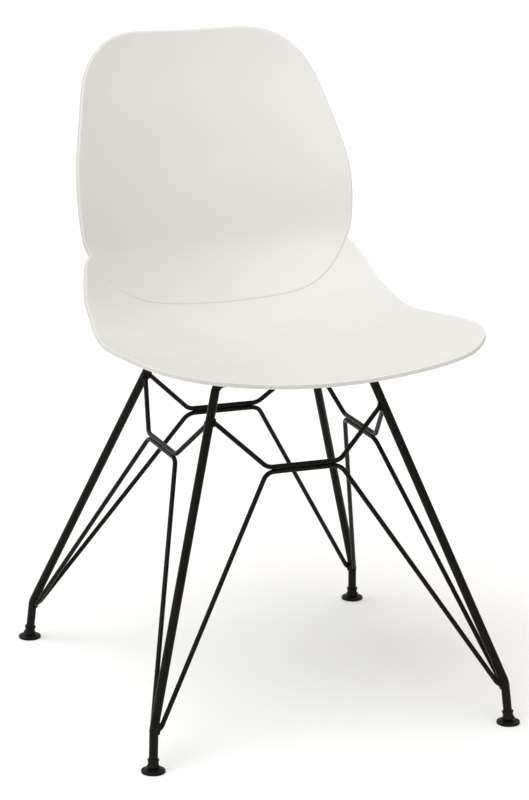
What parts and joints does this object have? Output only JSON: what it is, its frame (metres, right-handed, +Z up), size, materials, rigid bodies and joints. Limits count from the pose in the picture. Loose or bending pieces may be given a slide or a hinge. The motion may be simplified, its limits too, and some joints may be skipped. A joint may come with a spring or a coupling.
{
  "type": "shell chair",
  "caption": "Side chair with a one-piece moulded plastic seat and back on a splayed base of bent steel rods with welded brace wires and tilting glides.",
  "frame": {"origin": "middle of the chair's footprint, on the floor", "axes": "+Z up, the sitter faces -Y, the sitter's right is -X"},
  "size_m": [0.4932, 0.5531, 0.7971],
  "materials": {
    "shell": "fine satin",
    "frame": "satin powder coat",
    "pad": "matte",
    "fastener": "zinc plated",
    "insert": "turned",
    "glide": "matte"
  },
  "bodies": {
    "chair": {"seat_shell": "shell", "front_leg_rod": "frame", "rear_leg_rod": "frame", "front_upper_wire": "frame", "front_lower_wire": "frame", "rear_upper_wire": "frame", "rear_lower_wire": "frame", "right_upper_wire": "frame", "right_lower_wire": "frame", "left_upper_wire": "frame", "left_lower_wire": "frame", "front_right_mount_tab": "frame", "front_left_mount_tab": "frame", "rear_right_mount_tab": "frame", "rear_left_mount_tab": "frame", "front_right_pad": "pad", "front_left_pad": "pad", "rear_right_pad": "pad", "rear_left_pad": "pad", "mount_washers": "fastener", "mount_screws": "fastener", "thread_inserts": "insert", "glide_sleeve_front_right": "glide", "glide_sleeve_front_left": "glide", "glide_sleeve_rear_right": "glide", "glide_sleeve_rear_left": "glide"},
    "disc_front_right": {"glide_disc_front_right": "glide"},
    "disc_front_left": {"glide_disc_front_left": "glide"},
    "disc_rear_right": {"glide_disc_rear_right": "glide"},
    "disc_rear_left": {"glide_disc_rear_left": "glide"}
  },
  "joints": [
    {"name": "tilt_front_right", "type": "hinge", "parent": "chair", "child": "disc_front_right", "pos_m": [-0.23214, -0.26205, 0.0072], "axis": [-0.8861, 0.4635, 0], "range_deg": [-4, 16]},
    {"name": "tilt_front_left", "type": "hinge", "parent": "chair", "child": "disc_front_left", "pos_m": [0.23214, -0.26205, 0.0072], "axis": [-0.8861, -0.4635, 0], "range_deg": [-4, 16]},
    {"name": "tilt_rear_right", "type": "hinge", "parent": "chair", "child": "disc_rear_right", "pos_m": [-0.23214, 0.23835, 0.0072], "axis": [0.8861, 0.4635, 0], "range_deg": [-4, 16]},
    {"name": "tilt_rear_left", "type": "hinge", "parent": "chair", "child": "disc_rear_left", "pos_m": [0.23214, 0.23835, 0.0072], "axis": [0.8861, -0.4635, 0], "range_deg": [-4, 16]}
  ]
}
